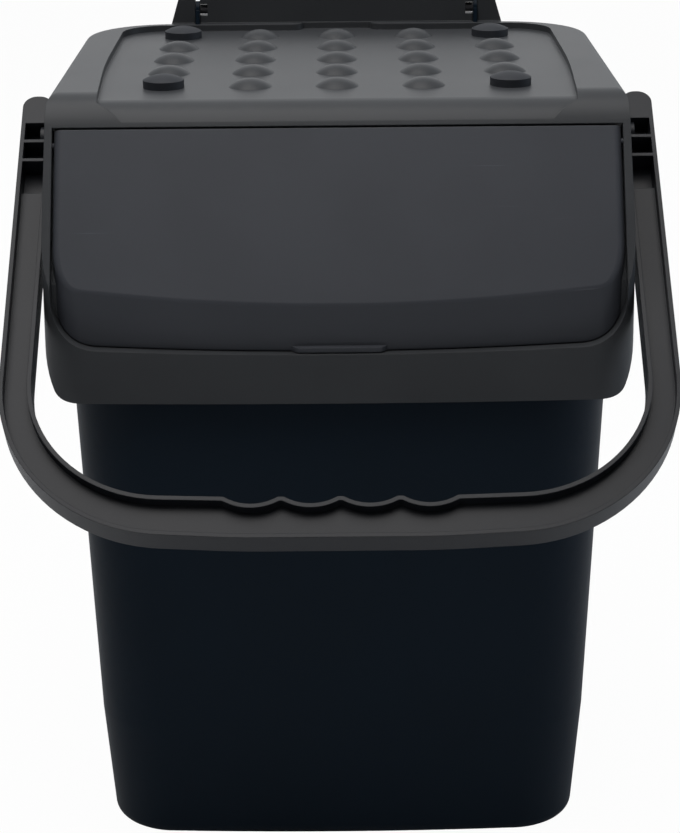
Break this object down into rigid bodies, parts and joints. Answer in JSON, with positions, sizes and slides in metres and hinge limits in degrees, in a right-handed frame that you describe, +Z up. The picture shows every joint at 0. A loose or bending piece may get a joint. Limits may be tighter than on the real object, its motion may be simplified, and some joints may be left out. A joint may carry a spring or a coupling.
{
  "type": "recycling bin",
  "caption": "Tapered stackable recycling bin with a hinged domed lid, a slanted front flap for dropping items in, and a swinging carry handle.",
  "frame": {"origin": "centre of the tub's base, on the floor it stands on", "axes": "+Z up, +X to the right seen from the front, -Y towards the front, where the flap and the handle are"},
  "size_m": [0.412, 0.4947, 0.514],
  "materials": {
    "tub_plastic": "charcoal polypropylene, satin",
    "lid_plastic": "charcoal polypropylene, satin",
    "flap_plastic": "charcoal polypropylene, satin",
    "handle_plastic": "charcoal polypropylene, satin",
    "pin_plastic": "dark grey nylon",
    "pad_rubber": "dark grey soft rubber"
  },
  "bodies": {
    "tub": {"tub": "tub_plastic", "handle_pin_left": "pin_plastic", "handle_pin_right": "pin_plastic"},
    "lid": {"lid": "lid_plastic", "hinge_pin_left": "pin_plastic", "hinge_pin_right": "pin_plastic", "pad_front_left": "pad_rubber", "pad_front_right": "pad_rubber", "pad_rear_left": "pad_rubber", "pad_rear_right": "pad_rubber"},
    "flap": {"flap": "flap_plastic"},
    "handle": {"handle": "handle_plastic"}
  },
  "joints": [
    {"name": "lid_hinge", "type": "hinge", "parent": "tub", "child": "lid", "pos_m": [0, 0.19335, 0.506], "axis": [-1, 0, 0], "range_deg": [0, 105]},
    {"name": "flap_hinge", "type": "hinge", "parent": "lid", "child": "flap", "pos_m": [0, -0.11853, 0.46772], "axis": [-1, 0, 0], "range_deg": [0, 95]},
    {"name": "handle_swing", "type": "hinge", "parent": "tub", "child": "handle", "pos_m": [0, -0.05544, 0.4594], "axis": [-1, 0, 0], "range_deg": [0, 240]}
  ]
}
